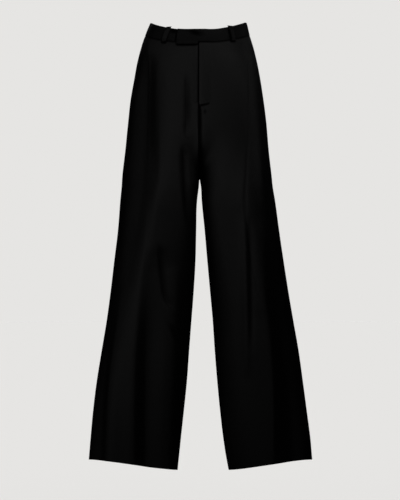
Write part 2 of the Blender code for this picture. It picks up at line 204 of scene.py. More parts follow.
# Level cuts through the garment, from the waist down: half widths from the
# centre front line to the side seams and inseams, and depths front and back.
CUT_COLUMNS = (
    "height", "right_out", "right_in", "left_in", "left_out", "front_depth", "back_depth",
)
LEVEL_CUTS = np.array((
    (0.0260, 0.1240, 0.0000, 0.0000, 0.1185, 0.0850, 0.0870),
    (0.0117, 0.1282, 0.0000, 0.0000, 0.1227, 0.0870, 0.0890),
    (-0.0091, 0.1365, 0.0000, 0.0000, 0.1274, 0.0900, 0.0930),
    (-0.0299, 0.1451, 0.0000, 0.0000, 0.1339, 0.0940, 0.0990),
    (-0.0559, 0.1531, 0.0000, 0.0000, 0.1417, 0.0985, 0.1070),
    (-0.0819, 0.1604, 0.0000, 0.0000, 0.1477, 0.1020, 0.1130),
    (-0.1339, 0.1703, 0.0000, 0.0000, 0.1573, 0.1070, 0.1220),
    (-0.1859, 0.1794, 0.0000, 0.0000, 0.1654, 0.1100, 0.1270),
    (-0.2379, 0.1851, 0.0000, 0.0000, 0.1724, 0.1110, 0.1270),
    (-0.3159, 0.1929, 0.0000, 0.0000, 0.1794, 0.1090, 0.1210),
    (-0.3920, 0.2013, 0.0004, 0.0004, 0.1883, 0.1040, 0.1120),
    (-0.4043, 0.2020, 0.0013, 0.0028, 0.1895, 0.1030, 0.1105),
    (-0.4459, 0.2059, 0.0062, 0.0056, 0.1963, 0.0985, 0.1055),
    (-0.5239, 0.2122, 0.0083, 0.0132, 0.2072, 0.0905, 0.0970),
    (-0.6019, 0.2218, 0.0100, 0.0198, 0.2189, 0.0835, 0.0885),
    (-0.6799, 0.2311, 0.0144, 0.0268, 0.2311, 0.0770, 0.0805),
    (-0.7579, 0.2418, 0.0203, 0.0338, 0.2444, 0.0710, 0.0735),
    (-0.8359, 0.2548, 0.0262, 0.0390, 0.2582, 0.0655, 0.0670),
    (-0.9139, 0.2675, 0.0318, 0.0452, 0.2691, 0.0600, 0.0610),
    (-0.9919, 0.2772, 0.0398, 0.0527, 0.2795, 0.0550, 0.0555),
    (-1.0699, 0.2844, 0.0482, 0.0619, 0.2896, 0.0505, 0.0505),
    (-1.1188, 0.2886, 0.0532, 0.0696, 0.2938, 0.0480, 0.0475),
    (-1.1560, 0.2920, 0.0570, 0.0768, 0.2975, 0.0465, 0.0460),
))[::-1]

# The waist rim: share of the way from the centre to the side seam, and its
# height on the wearer's right and left.
FRONT_RIM = np.array((
    (0.00, -0.0150, -0.0150),
    (0.19, -0.0145, -0.0138),
    (0.31, -0.0115, -0.0096),
    (0.51, -0.0034, -0.0011),
    (0.67, 0.0038, 0.0060),
    (0.82, 0.0100, 0.0116),
    (1.00, 0.0137, 0.0143),
))
BACK_RIM = np.array((
    (0.00, 0.0118, 0.0118),
    (0.35, 0.0123, 0.0125),
    (0.70, 0.0134, 0.0138),
    (1.00, 0.0137, 0.0143),
))


def smoothstep(value):
    held = np.clip(value, 0.0, 1.0)
    return held * held * (3.0 - 2.0 * held)


def through_rows(places, values, place):
    """A smooth curve through a table's rows, held level past its ends."""
    place = np.clip(place, places[0], places[-1])
    slopes = np.gradient(values, places)
    row = np.clip(np.searchsorted(places, place) - 1, 0, len(places) - 2)
    span = places[row + 1] - places[row]
    t = (place - places[row]) / span
    start = (1 + 2 * t) * (1 - t) ** 2 * values[row] + t * (1 - t) ** 2 * span * slopes[row]
    end = t * t * (3 - 2 * t) * values[row + 1] + t * t * (t - 1) * span * slopes[row + 1]
    return start + end


def cut_size(column, height):
    values = LEVEL_CUTS[:, CUT_COLUMNS.index(column)]
    return through_rows(LEVEL_CUTS[:, 0], values, height)


def rim_height(side, face, share):
    rows = FRONT_RIM if face == "front" else BACK_RIM
    return through_rows(rows[:, 0], rows[:, 1 if side == "right" else 2], share)


def waist_ring(side, face, share, height, grow):
    """A point of the rounded waist section, as distances from the centre planes."""
    turn = 0.5 * np.pi * share
    across = cut_size(side + "_out", height) + grow
    deep = cut_size(face + "_depth", height) + grow
    x = across * np.maximum(np.sin(turn), 0.0) ** SIDE_SQUARENESS
    y = deep * np.maximum(np.cos(turn), 0.0) ** FRONT_SQUARENESS
    return x, y


def rise_blend(height, share, ease_width):
    """0 where the two halves share one hollow, 1 where each leg is a tube."""
    drop = np.clip((RISE_CURVE_TOP - height) / (RISE_CURVE_TOP - CROTCH_HEIGHT), 0.0, 1.0)
    at_seam = 1.0 - (1.0 - drop * drop) ** RISE_CURVE_POWER
    away = smoothstep((HIP_BLEND_TOP - height) / (HIP_BLEND_TOP - THIGH_BLEND_END))
    ease = 1.0 - np.maximum(1.0 - share / ease_width, 0.0) ** 2
    return at_seam * (1.0 - ease) + away * ease


def below_crotch(level):
    return smoothstep((CROTCH_HEIGHT - level) / (CROTCH_HEIGHT - HEM_HEIGHT))


def row_height(side, face, share, level):
    """Rows bend to the band at the top and lie square to the leg at the hem."""
    seam_bend = rim_height(side, face, share) - FRONT_RIM[0][1]
    height = level + seam_bend * smoothstep((level - BAND_BEND_END) / BAND_BEND_FADE)
    across = 0.5 - 0.5 * np.cos(np.pi * share)
    return height - HEM_DROP_TO_INSEAM * (1.0 - across) * below_crotch(level)


def bare_form(side, face, share, level, inset):
    """The filled-out form of one panel before its folds, from the centre planes."""
    height = row_height(side, face, share, level)
    outer = cut_size(side + "_out", height) - inset
    inner = cut_size(side + "_in", height) + inset
    deep = cut_size(face + "_depth", height) - inset
    hip_x, hip_y = waist_ring(side, face, share, height, -inset)
    pointed = HEM_POINTEDNESS * below_crotch(level)
    leg_share = (0.5 - 0.5 * np.cos(np.pi * share)) * (1.0 - pointed) + share * pointed
    leg_x = inner + (outer - inner) * leg_share
    # The thigh is square on its inner side, so the front stays flat to the inseam.
    squared = smoothstep((height - THIGH_SQUARE_TO) / THIGH_SQUARE_FADE) * (share < 0.5)
    to_crease = np.clip(1.0 - 2.0 * leg_share, 0.0, 1.0)
    corner = THIGH_CORNER[side]
    square_y = np.maximum(1.0 - to_crease**corner, 0.0) ** (1.0 / corner)
    leg_y = deep * (np.sin(np.pi * share) * (1.0 - squared) + square_y * squared)
    blend = rise_blend(height, share, INSEAM_EASE[face + "_" + side])
    x = hip_x * (1.0 - blend) + leg_x * blend
    y = hip_y * (1.0 - blend) + leg_y * blend
    return x, np.maximum(y, 0.0), height


# The folds and creases. Each runs down one panel through a few
# points, given as height, distance across, and how far it stands out (a ridge)
# or sinks in (below 0, a trough) there. Before them come its width to the left, its
# width to the right and its roundness.
FOLDS = {"front_right": (
    (0.018, 0.050, 2.0, (
        (-0.055, -0.094, 0.0), (-0.10, -0.097, 0.0050), (-0.25, -0.099, 0.0075),
        (-0.38, -0.097, 0.0075), (-0.50, -0.110, 0.004), (-0.64, -0.130, 0.0))),
    (0.030, 0.022, 2.0, (
        (-0.055, -0.132, 0.0), (-0.12, -0.138, -0.007), (-0.30, -0.144, -0.009),
        (-0.45, -0.154, -0.008), (-0.58, -0.176, -0.004), (-0.70, -0.194, 0.0))),
    (0.0030, 0.0034, 1.3, (
        (-0.035, -0.1311, 0.0004), (-0.10, -0.1311, 0.0009), (-0.28, -0.1311, 0.0008),
        (-0.36, -0.1315, 0.0004), (-0.44, -0.1335, 0.0))),
    (0.032, 0.015, 1.3, (
        (-0.42, -0.133, 0.0), (-0.54, -0.1385, 0.002), (-0.665, -0.1485, 0.0045),
        (-0.83, -0.162, 0.008), (-0.985, -0.1673, 0.009), (-1.17, -0.168, 0.008))),
    (0.022, 0.050, 1.8, (
        (-0.56, -0.114, 0.0), (-0.68, -0.126, -0.006), (-0.83, -0.134, -0.016),
        (-0.985, -0.135, -0.020), (-1.17, -0.135, -0.020))),
    (0.034, 0.022, 2.0, (
        (-0.60, -0.058, 0.0), (-0.72, -0.064, 0.0075), (-0.83, -0.070, 0.0115),
        (-0.985, -0.078, 0.0125), (-1.17, -0.084, 0.0125))),
    (0.013, 0.028, 2.0, (
        (-0.64, -0.190, 0.0), (-0.78, -0.208, 0.005), (-0.90, -0.223, 0.008),
        (-1.17, -0.238, 0.007))),
    (0.004, 0.012, 1.6, (
        (-0.12, -0.0350, 0.0), (-0.17, -0.0345, -0.0040), (-0.24, -0.0340, -0.0045),
        (-0.30, -0.0350, 0.0))),
    (0.004, 0.014, 1.6, (
        (-0.30, -0.0437, 0.0), (-0.34, -0.0425, -0.0050), (-0.40, -0.040, -0.0065),
        (-0.4665, -0.034, -0.0055), (-0.55, -0.020, 0.0))),
    (0.006, 0.014, 1.6, (
        (-0.55, -0.106, 0.0), (-0.60, -0.099, -0.0048), (-0.66, -0.0915, -0.0056),
        (-0.702, -0.0851, -0.0048), (-0.745, -0.064, 0.0))),
    (0.006, 0.010, 1.6, (
        (-0.755, -0.082, 0.0), (-0.785, -0.068, -0.0036), (-0.84, -0.046, 0.0))),
), "front_left": (
    (0.060, 0.020, 2.0, (
        (-0.055, 0.115, 0.0), (-0.10, 0.124, 0.0045), (-0.25, 0.142, 0.0075),
        (-0.40, 0.150, 0.008), (-0.52, 0.155, 0.006), (-0.62, 0.160, 0.004),
        (-0.76, 0.170, 0.0))),
    (0.035, 0.015, 1.3, (
        (-0.48, 0.152, 0.0), (-0.60, 0.160, 0.004), (-0.70, 0.167, 0.007),
        (-0.78, 0.1785, 0.009), (-0.88, 0.1855, 0.009), (-1.17, 0.189, 0.008))),
    (0.032, 0.030, 2.0, (
        (-0.52, 0.193, 0.0), (-0.66, 0.205, -0.008), (-0.80, 0.219, -0.012),
        (-0.95, 0.234, -0.012), (-1.17, 0.246, -0.011))),
    (0.005, 0.007, 1.6, (
        (-0.48, 0.124, 0.0), (-0.56, 0.1265, -0.0034), (-0.66, 0.130, -0.0042),
        (-0.76, 0.1315, -0.0036), (-0.86, 0.132, 0.0))),
    (0.0030, 0.0035, 1.3, (
        (-0.06, 0.1224, -0.0006), (-0.12, 0.1224, -0.0014), (-0.247, 0.1224, -0.0014),
        (-0.373, 0.1173, -0.0014), (-0.474, 0.1148, -0.0014), (-0.575, 0.1282, -0.0016),
        (-0.656, 0.141, -0.0014), (-0.72, 0.155, 0.0))),
    (0.012, 0.009, 1.6, (
        (-0.46, 0.112, 0.0), (-0.56, 0.115, 0.0040), (-0.72, 0.120, 0.0045),
        (-0.84, 0.122, 0.003), (-0.92, 0.123, 0.0))),
), "back_right": (
    (0.026, 0.026, 1.4, (
        (-0.08, -0.105, 0.0), (-0.20, -0.107, 0.004), (-0.60, -0.120, 0.0065),
        (-1.17, -0.168, 0.0065))),
), "back_left": (
    (0.026, 0.026, 1.4, (
        (-0.08, 0.103, 0.0), (-0.20, 0.106, 0.004), (-0.60, 0.124, 0.0065),
        (-1.17, 0.184, 0.0065))),
)}
SIGNS = {"right": -1.0, "left": 1.0, "front": -1.0, "back": 1.0}
FOLD_RUN_OUT = 0.035
BESIDE_SEAM = 0.06
HEM_TURN_UP = 0.036
TURNED_UP_TO = HEM_HEIGHT + HEM_TURN_UP
FLY_BOTTOM = -0.2105
FLY_EDGE = -0.0013
FLY_UNDERLAP = 0.009
FLY_LIFT = 0.0026
FLY_WIDTH = 0.0255
FLY_STITCH = 0.0245
FLY_END_RISE = 0.0075
TUCK_DEPTH = 0.0045
TUCK_END = -0.47
TUCK_REACH = 0.0040
TUCK_GROWTH = 0.0080
GROOVE_DEPTH = 0.0035
GROOVE_END = -0.43
GROOVE_REACH = 0.0022
TAB_REACH = 0.060
TAB_EXTRA_DROP = 0.0065
TAB_PRESSES_IN = 0.0030


def near_to(offset, width, power=2):
    """1 at a line or a place, falling off softly within its width."""
    return np.exp(-((offset / width) ** power))


def folds_of(panel, x, height, narrowest=1.0):
    """Each fold of a panel: distance from its line, width, roundness, lift, and its rows."""
    for left, right, roundness, points in FOLDS[panel]:
        if min(left, right) <= narrowest:
            heights, across, lifts = np.array(points)[::-1].T
            off_line = x - through_rows(heights, across, height)
            width = np.where(off_line < 0.0, left, right)
            yield off_line, width, roundness, through_rows(heights, lifts, height), heights, lifts


def fold_lift(panel, x, height):
    """How far the folds of one panel move it outwards."""
    total = np.zeros_like(x)
    for off_line, width, roundness, lift, heights, lifts in folds_of(panel, x, height):
        # A fold that ends on the cloth runs out softly.
        if lifts[-1] == 0.0:
            lift = lift * smoothstep((heights[-1] - height) / FOLD_RUN_OUT)
        if lifts[0] == 0.0:
            lift = lift * smoothstep((height - heights[0]) / FOLD_RUN_OUT)
        total += lift * near_to(np.abs(off_line), width, roundness)
    return total


def fly_over(x, y, height, beside, above_crotch):
    """The left front at the fly: it laps over the right front, and tucks in below."""
    # The fly's curved lower end rises towards its outer edge.
    curve = FLY_END_RISE * np.clip(x / FLY_WIDTH, 0.0, 1.2) ** 2 - 0.002
    inside = smoothstep((height - FLY_BOTTOM - curve) / 0.0045)
    y = y + FLY_LIFT * inside * (1.0 - smoothstep((x - 0.005) / (FLY_WIDTH + 0.002)))
    x = x + (FLY_EDGE - 0.5 * SEAM_GAP) * beside * above_crotch
    # Below the fly the cloth tucks in along the seam, wider towards the crotch.
    below_fly = FLY_BOTTOM - 0.004 - height
    tuck = smoothstep(below_fly / 0.008) * smoothstep((height - TUCK_END) / 0.06)
    reach = TUCK_REACH + TUCK_GROWTH * smoothstep(below_fly / 0.16)
    y = y - TUCK_DEPTH * tuck * near_to(np.maximum(x, 0.0), reach, 1.5)
    # The stitching of the fly facing sinks in a little.
    sewn = near_to(x - FLY_STITCH, 0.0011) * smoothstep((height - FLY_BOTTOM) / 0.02)
    return x, y - 0.0002 * sewn


def fly_under(x, y, height, beside, above_crotch, tab_edge):
    """The right front at the fly: it runs on under the left front and the tab."""
    shut = 1.0 - smoothstep((FLY_BOTTOM + 0.004 - height) / 0.004)
    lapped = smoothstep((height - FLY_BOTTOM - 0.004) / 0.006)
    x = x - (FLY_UNDERLAP + 0.5 * SEAM_GAP) * beside * lapped * shut
    x = x - FLY_EDGE * beside * above_crotch * (1.0 - lapped * shut)
    # It sinks beneath the lap and swells just beside it.
    swell = 0.0010 * near_to(x - 0.0095, 0.0040)
    y = y + lapped * (swell - 0.0020 * (1.0 - smoothstep(x / 0.0060)))
    # Below the fly it sinks into a narrow groove along the seam.
    groove = smoothstep((FLY_BOTTOM - height) / 0.008) * smoothstep((height - GROOVE_END) / 0.03)
    y = y - GROOVE_DEPTH * groove * near_to(np.maximum(x, 0.0), GROOVE_REACH, 1.5)
    # It is held flat under the closing tab, just above the tab's lower edge.
    pressed = 1.0 - smoothstep((tab_edge - height) / 0.0045)
    return x, y - TAB_PRESSES_IN * pressed * smoothstep((TAB_REACH - x) / 0.003)


def tab_lower_edge(share):
    return rim_height("right", "front", share) - BAND_HEIGHT - TAB_EXTRA_DROP


def placed(side, face, x, y, height):
    """Points in space, from distances to the centre planes."""
    return np.stack(np.broadcast_arrays(SIGNS[side] * x, SIGNS[face] * y, height), axis=-1)


def panel_surface(side, face, share, level, inset):
    """A finished skin of one panel, inset from the outside of the cloth."""
    share, level = np.broadcast_arrays(share, level)
    x, y, height = bare_form(side, face, share, level, inset)
    flat_x, flat_y, _ = bare_form(side, face, share, level, 0.0)
    run_x = np.gradient(flat_x, share[0], axis=1)
    run_y = np.gradient(flat_y, share[0], axis=1)
    length = np.hypot(run_x, run_y) + 1e-9
    lift = fold_lift(f"{face}_{side}", SIGNS[side] * flat_x, height)
    lift = lift * smoothstep(share / BESIDE_SEAM) * smoothstep((1.0 - share) / BESIDE_SEAM)
    x = np.maximum(x - run_y / length * lift, 0.5 * SEAM_GAP)
    y = np.maximum(y + run_x / length * lift, 0.5 * SEAM_GAP)
    beside = np.maximum(1.0 - share / BESIDE_SEAM, 0.0)
    above_crotch = smoothstep((height - CROTCH_HEIGHT - 0.006) / 0.030)
    if (side, face) == ("left", "front"):
        x, y = fly_over(x, y, height, beside, above_crotch)
    elif (side, face) == ("right", "front"):
        x, y = fly_under(x, y, height, beside, above_crotch, tab_lower_edge(share))
    points = placed(side, face, x, y, height)
    # A leg's rows drop a little to the back, so that its hem shows as one edge in front.
    lean = below_crotch(level) * (EYE_HEIGHT - height) / EYE_DISTANCE
    points[..., 2] -= points[..., 1] * lean
    return points


def rounded_edge(distance, thickness):
    """Insets of the two skins near a cut edge, so that the edge is rounded."""
    radius = 0.46 * thickness
    near = np.clip(1.0 - distance / radius, 0.0, 1.0)
    return radius * (1.0 - np.sqrt(1.0 - near * near))


def cloth_shell(name, outer, inner, across, along):
    """A closed shell between two grids of points, with the cut's own flat map."""
    rows, columns = outer.shape[:2]
    points = np.concatenate((outer.reshape(-1, 3), inner.reshape(-1, 3)))
    index = np.arange(rows * columns).reshape(rows, columns)
    corners = (index[:-1, :-1], index[:-1, 1:], index[1:, 1:], index[1:, :-1])
    skin = np.stack([corner.reshape(-1) for corner in corners], axis=1)
    under = skin[:, ::-1] + rows * columns
    border = np.concatenate((index[0, :-1], index[:-1, -1], index[-1, :0:-1], index[:0:-1, 0]))
    after = np.roll(border, -1)
    edge = np.stack((border, border + rows * columns, after + rows * columns, after), axis=1)
    quads = np.concatenate((skin, under, edge))
    # The faces are turned round if the outer skin's look inwards.
    a, b, c = (points[skin[:, corner]] for corner in (0, 1, 2))
    away = (outer - inner)[:-1, :-1].reshape(-1, 3)
    if float((np.cross(b - a, c - b) * away).sum()) < 0.0:
        quads = quads[:, ::-1]
    piece = new_piece(name, points.tolist(), quads.tolist(), garment)
    mesh = piece.data
    flat = np.stack(np.broadcast_arrays(across, along), axis=-1).reshape(-1, 2)
    layer = mesh.uv_layers.new(name="cut")
    corners = np.empty(len(mesh.loops), dtype=np.int32)
    mesh.loops.foreach_get("vertex_index", corners)
    layer.data.foreach_set("uv", np.tile(flat, (2, 1))[corners].astype(np.float32).reshape(-1))
    mesh.polygons.foreach_set("use_smooth", [True] * len(mesh.polygons))
    return piece


PAINTED_SHADE_WIDTH = 0.007
PAINTED_SHADE_DEPTH = 0.0065
RUBBED_WIDTH = 0.012
RUBBED_LIFT = 0.006
SHADE_SPOT_ACROSS = 0.0139
SHADE_SPOT_HEIGHT = -0.2263


def painted_shade_places(panel, share, level, outer):
    """How much painted shade each point of a panel gets, in fold troughs, at the fly's lap, along
    seams and under the tab and band.
    """
    x, _, height = np.moveaxis(outer, -1, 0)
    painted_shade = np.zeros_like(x)
    # Painted shade in fold troughs, darker in deeper troughs.
    for off_line, width, _, lift, heights, _ in folds_of(panel, x, height, PAINTED_SHADE_WIDTH):
        depth = np.clip(-lift / PAINTED_SHADE_DEPTH, 0.0, 1.0)
        depth = depth * ((height < heights[-1]) & (height > heights[0]))
        painted_shade = np.maximum(painted_shade, 0.62 * depth * near_to(off_line, 0.7 * width))
    if panel.startswith("back"):
        return painted_shade
    in_fly = smoothstep((height - FLY_BOTTOM) / 0.003)
    in_rise = (1.0 - in_fly) * smoothstep((height - CROTCH_HEIGHT + 0.02) / 0.02)
    below_band = np.maximum(FIRST_LEVEL - BAND_OVERLAP - level, 0.0) + 0.0 * x
    # Painted shade beside the fly's lap, along the seam below it, under the tab's lower edge and just
    # below the band.
    if panel == "front_right":
        beside = np.maximum(FLY_EDGE - x, 0.0)
        lap_shade = in_fly * near_to(beside, 0.0032, 4)
        seam_shade = in_rise * near_to(beside, 0.0026, 4)
        below_tab = np.maximum(tab_lower_edge(share) - height, 0.0)
        tab_shadow = near_to(below_tab, 0.0034, 4) * smoothstep((x + 0.0580) / 0.002)
        under_band_shade = near_to(below_band, 0.0044, 4)
        return np.maximum.reduce((painted_shade, lap_shade, 0.95 * seam_shade, tab_shadow, 0.95 * under_band_shade))
    # Painted shade along the seam below the fly, widening towards the crotch, and just below the
    # band.
    reach = 0.0046 + 0.0080 * smoothstep((FLY_BOTTOM - height) / 0.17)
    seam_shade = in_rise * near_to(np.maximum(x - FLY_EDGE, 0.0), reach, 3)
    # Painted shadow: a short curved shadow under the fly's end, and a small painted shade spot
    # beneath it.
    fly_end_shadow = FLY_BOTTOM - 0.0015 + 0.0060 * np.clip(x / 0.024, 0.0, 1.2) ** 1.5
    fly_end_shadow = near_to(height - fly_end_shadow, 0.0021) * smoothstep((0.027 - x) / 0.004)
    spot_shade = near_to(x - SHADE_SPOT_ACROSS, 0.0034) * near_to(height - SHADE_SPOT_HEIGHT, 0.0050)
    under_band_shade = near_to(1.4 * below_band, 0.0044, 4)
    return np.maximum.reduce((painted_shade, seam_shade, 0.85 * fly_end_shadow, 0.75 * spot_shade, 0.9 * under_band_shade))


def rubbed_crests(panel, outer):
    """How rubbed each point of a panel is along its creases and narrow ridges."""
    x, _, height = np.moveaxis(outer, -1, 0)
    crest = np.zeros_like(x)
    for off_line, _, _, lift, heights, _ in folds_of(panel, x, height, RUBBED_WIDTH):
        lift = np.maximum(lift, 0.0) / RUBBED_LIFT
        inside = (height < heights[-1]) & (height > heights[0])
        crest = np.maximum(crest, lift * inside * near_to(off_line, 0.0022))
    return crest


def wear(piece, edges, crests=0.0, painted_shade=0.0):
    """Marks how worn each point of both skins is, and how much painted shade it gets."""
    worn = np.maximum(edges, crests)
    for kind, values in (("worn", worn), ("painted_shade", np.broadcast_to(painted_shade, worn.shape))):
        layer = piece.data.attributes.new(kind, "FLOAT", "POINT")
        layer.data.foreach_set("value", np.tile(values.reshape(-1), 2).astype(np.float32))


CLOTH_ROUGHNESS = 0.50
WEAVE_SCALE = 190.0
SLUB_SCALE = 420.0
NAP_SCALE = 9.0


def add_node(material, kind, inputs, **settings):
    """One more node of a material, with its inputs and settings."""
    node = material.node_tree.nodes.new(kind)
    for setting, value in settings.items():
        setattr(node, setting, value)
    set_inputs(node, inputs)
    return node


def tinted(shade, strength):
    return (*[strength * value for value in shade], 1.0)


def suiting(name, shade, weave_depth, gloss=0.45):
    """Near-black plain-weave suiting: fine crossed threads, slubs and a faint nap."""
    cloth, shader = new_material(name)
    flat = add_node(cloth, "ShaderNodeUVMap", {}, uv_map="cut").outputs["UV"]
    warp, weft = [
        add_node(cloth, "ShaderNodeTexWave", {
            "Vector": flat, "Scale": WEAVE_SCALE, "Distortion": 1.2,
            "Detail": 1.0, "Detail Scale": 0.4,
        }, bands_direction=direction).outputs["Fac"]
        for direction in ("X", "Y")
    ]
    crossed = add_node(cloth, "ShaderNodeMath", {0: warp, 1: weft}, operation="ADD")
    slub = add_node(cloth, "ShaderNodeTexNoise", {"Vector": flat, "Scale": SLUB_SCALE, "Detail": 3.0})
    relief = add_node(cloth, "ShaderNodeMath", {
        0: slub.outputs["Fac"], 1: 1.6, 2: crossed.outputs["Value"],
    }, operation="MULTIPLY_ADD")
    bump = add_node(cloth, "ShaderNodeBump", {
        "Strength": 0.35, "Distance": weave_depth, "Height": relief.outputs["Value"],
    })
    place = add_node(cloth, "ShaderNodeTexCoord", {}).outputs["Object"]
    nap = add_node(cloth, "ShaderNodeTexNoise", {"Vector": place, "Scale": NAP_SCALE, "Detail": 4.0})
    tone = add_node(cloth, "ShaderNodeValToRGB", {"Fac": nap.outputs["Fac"]})
    dark, light = tone.color_ramp.elements
    dark.position, light.position = 0.30, 0.72
    dark.color, light.color = tinted(shade, 0.88), tinted(shade, 1.12)
    # Worn edges and creases are a little paler and smoother.
    worn = add_node(cloth, "ShaderNodeAttribute", {}, attribute_name="worn").outputs["Fac"]
    rubbed = add_node(cloth, "ShaderNodeMix", {}, data_type="RGBA")
    set_inputs(rubbed, {"Factor": worn, "A": tone.outputs["Color"], "B": tinted(shade, 1.8)})
    smooth = add_node(cloth, "ShaderNodeMapRange", {
        "Value": worn, "To Min": CLOTH_ROUGHNESS, "To Max": CLOTH_ROUGHNESS - 0.06,
    })
    # Painted shade: where a point is marked with painted shade, in folds, laps, seams and under
    # edges, its sheen is cut to a twentieth.
    painted_shade = add_node(cloth, "ShaderNodeAttribute", {}, attribute_name="painted_shade").outputs["Fac"]
    shine = add_node(cloth, "ShaderNodeMapRange", {
        "Value": painted_shade, "To Min": gloss, "To Max": 0.05 * gloss,
    })
    set_inputs(shader, {
        "Base Color": rubbed.outputs["Result"], "Roughness": smooth.outputs["Result"],
        "Specular IOR Level": shine.outputs["Result"], "Normal": bump.outputs["Normal"],
    })
    return cloth


SUITING_SHADE = (0.0022, 0.0020, 0.0021)
panel_cloth = suiting("suiting_cloth", SUITING_SHADE, 0.00012)

PANEL_ARC = 0.262
FACING_THICKNESS = 0.0010
FLY_STRIP = 0.034
FINE_ABOVE = 0.012
FINE_BELOW = 0.008
FINE_STEP = 0.0012
PANEL_STEP = 0.0042
EDGE_STEPS = np.array((0.0, 0.00015, 0.0004, 0.0008, 0.0014, 0.0022, 0.0034))
BAND_OVERLAP = 0.0020
FIRST_LEVEL = FRONT_RIM[0][1] - BAND_HEIGHT + BAND_OVERLAP


def stepped(start, end, step, close_start=True, close_end=True):
    """Even steps with closer ones at the two cut edges."""
    sign = 1.0 if end > start else -1.0
    first = start + sign * (EDGE_STEPS if close_start else EDGE_STEPS[:1])
    last = end - sign * (EDGE_STEPS if close_end else EDGE_STEPS[:1])[::-1]
    count = int(abs(last[0] - first[-1]) / step)
    middle = np.linspace(first[-1], last[0], count + 1)[1:-1]
    return np.concatenate((first, middle, last))


def panel_shares():
    """Shares from the centre seam to the side seam, finer at the fly."""
    fly = stepped(0.0, FLY_STRIP, 0.0013, close_end=False)[:-1]
    rest = stepped(FLY_STRIP, PANEL_ARC, 0.0029, close_start=False)
    return np.concatenate((fly, rest)) / PANEL_ARC


def panel_levels():
    """Levels from the band to the hem, finer at the fly's end."""
    fine_from = FLY_BOTTOM + FINE_ABOVE
    to_fly = stepped(FIRST_LEVEL, fine_from, PANEL_STEP, close_end=False)[:-1]
    at_fly = np.arange(fine_from, FLY_BOTTOM - FINE_BELOW, -FINE_STEP)
    leg = stepped(at_fly[-1] - FINE_STEP, TURNED_UP_TO, PANEL_STEP, close_start=False)
    hem = stepped(TURNED_UP_TO, HEM_HEIGHT, PANEL_STEP)[1:]
    return np.concatenate((to_fly, at_fly, leg, hem))


panels = {}
for name in ("front_right", "back_right", "front_left", "back_left"):
    face, side = name.split("_")
    share = panel_shares()[None, :]
    level = panel_levels()[:, None]
    to_side = np.minimum(share, 1.0 - share) * PANEL_ARC
    to_end = np.minimum(FIRST_LEVEL - level, level - HEM_HEIGHT)
    to_edge = np.minimum(to_side, to_end)
    # The cloth is doubled where the hem is turned up and behind the fly.
    doubled = smoothstep((TURNED_UP_TO - level) / 0.0006)
    if (side, face) == ("left", "front"):
        faced = smoothstep((level - FLY_BOTTOM) / 0.004)
        faced = faced * smoothstep((FLY_WIDTH + 0.004 - share * PANEL_ARC) / 0.002)
        doubled = np.maximum(doubled, faced)
    thickness = CLOTH_THICKNESS + FACING_THICKNESS * doubled
    rolled = rounded_edge(to_edge, thickness)
    rolled_in = 0.0005 * near_to(to_side, 0.0018, 1)
    rolled_in = rolled_in + 0.0008 * near_to(FIRST_LEVEL - level, 0.0030, 1)
    outer = panel_surface(side, face, share, level, rolled + rolled_in)
    inner = panel_surface(side, face, share, level, thickness - rolled + rolled_in)
    panel = cloth_shell(f"cloth_{name}", outer, inner, share * PANEL_ARC, level)
    painted_shade = painted_shade_places(name, share, level, outer)
    crests = rubbed_crests(name, outer)
    wear(panel, near_to(to_edge, 0.004, 1), crests, painted_shade)
    panel.data.materials.append(panel_cloth)
    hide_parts(f"leg_{name}")
    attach(panel, "root")
    panels[side, face] = panel


# ------------------------------ The inside seams
# Each seam is pressed open over narrow allowances of the same suiting, which lie
# flat against the inside of the panels behind the joint.
SEAM_ALLOWANCE = 0.012
ALLOWANCE_THICKNESS = 0.0007
ALLOWANCE_STAND_OFF = 0.0008
ALLOWANCE_PAINTED_SHADE = 0.9
TAPE_HALF_WIDTH = 0.0055
TAPE_SAG = 0.0016
TAPE_ROWS = 61

allowance_cloth = suiting("seam_allowance_cloth", SUITING_SHADE, 0.00010)


def laid_in(strip, to_edge):
    """Gives a strip its cloth, worn at its edges and with painted shade over all of it."""
    wear(strip, near_to(to_edge, 0.001, 1), painted_shade=ALLOWANCE_PAINTED_SHADE)
    strip.data.materials.append(allowance_cloth)
    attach(strip, "root")
    return strip


def seam_strip(name, one, other, at_side, first, last):
    """A pressed-open strip behind the seam where two panels meet."""
    levels = np.linspace(first, last, int(abs(first - last) / 0.006) + 2)[:, None]
    steps = np.linspace(0.0, SEAM_ALLOWANCE, 6) / PANEL_ARC
    shares = 1.0 - steps if at_side else steps
    skins = []
    for depth in (0.0, ALLOWANCE_THICKNESS):
        inset = CLOTH_THICKNESS + ALLOWANCE_STAND_OFF + depth
        near = panel_surface(*one, shares[None, ::-1], levels, inset)
        far = panel_surface(*other, shares[None, :], levels, inset)
        skins.append(np.concatenate((near, far[:, 1:]), axis=1))
    across = np.concatenate((-steps[::-1], steps[1:]))[None, :] * PANEL_ARC
    to_edge = np.abs(np.abs(across) - SEAM_ALLOWANCE) + 0.0 * levels
    return laid_in(cloth_shell(name, *skins, across, levels), to_edge)


def crotch_tape():
    """A narrow tape along the rise seam, through the crotch from front to back."""
    turn = np.linspace(0.50, math.pi - 0.50, TAPE_ROWS)[:, None]
    height = RISE_CURVE_TOP + (CROTCH_HEIGHT - RISE_CURVE_TOP) * np.sin(turn)
    forward = np.abs(np.cos(turn)) ** (2.0 * RISE_CURVE_POWER)
    in_front, behind = -cut_size("front_depth", height), cut_size("back_depth", height)
    deep = np.where(turn < 0.5 * math.pi, in_front, behind)
    x = np.linspace(-TAPE_HALF_WIDTH, TAPE_HALF_WIDTH, 7)[None, :]
    sag = TAPE_SAG * (x / TAPE_HALF_WIDTH) ** 2
    skins = []
    for inset in (0.0024, 0.0024 + ALLOWANCE_THICKNESS):
        y = deep * forward * (1.0 - inset / 0.09) + 0.0 * x
        skins.append(np.stack((x + 0.0 * y, y, height + inset - sag), axis=-1))
    tape = cloth_shell("crotch_tape", *skins, x, -np.arange(TAPE_ROWS)[:, None] * 0.0035)
    return laid_in(tape, np.abs(np.abs(x) - TAPE_HALF_WIDTH) + 0.0 * turn)


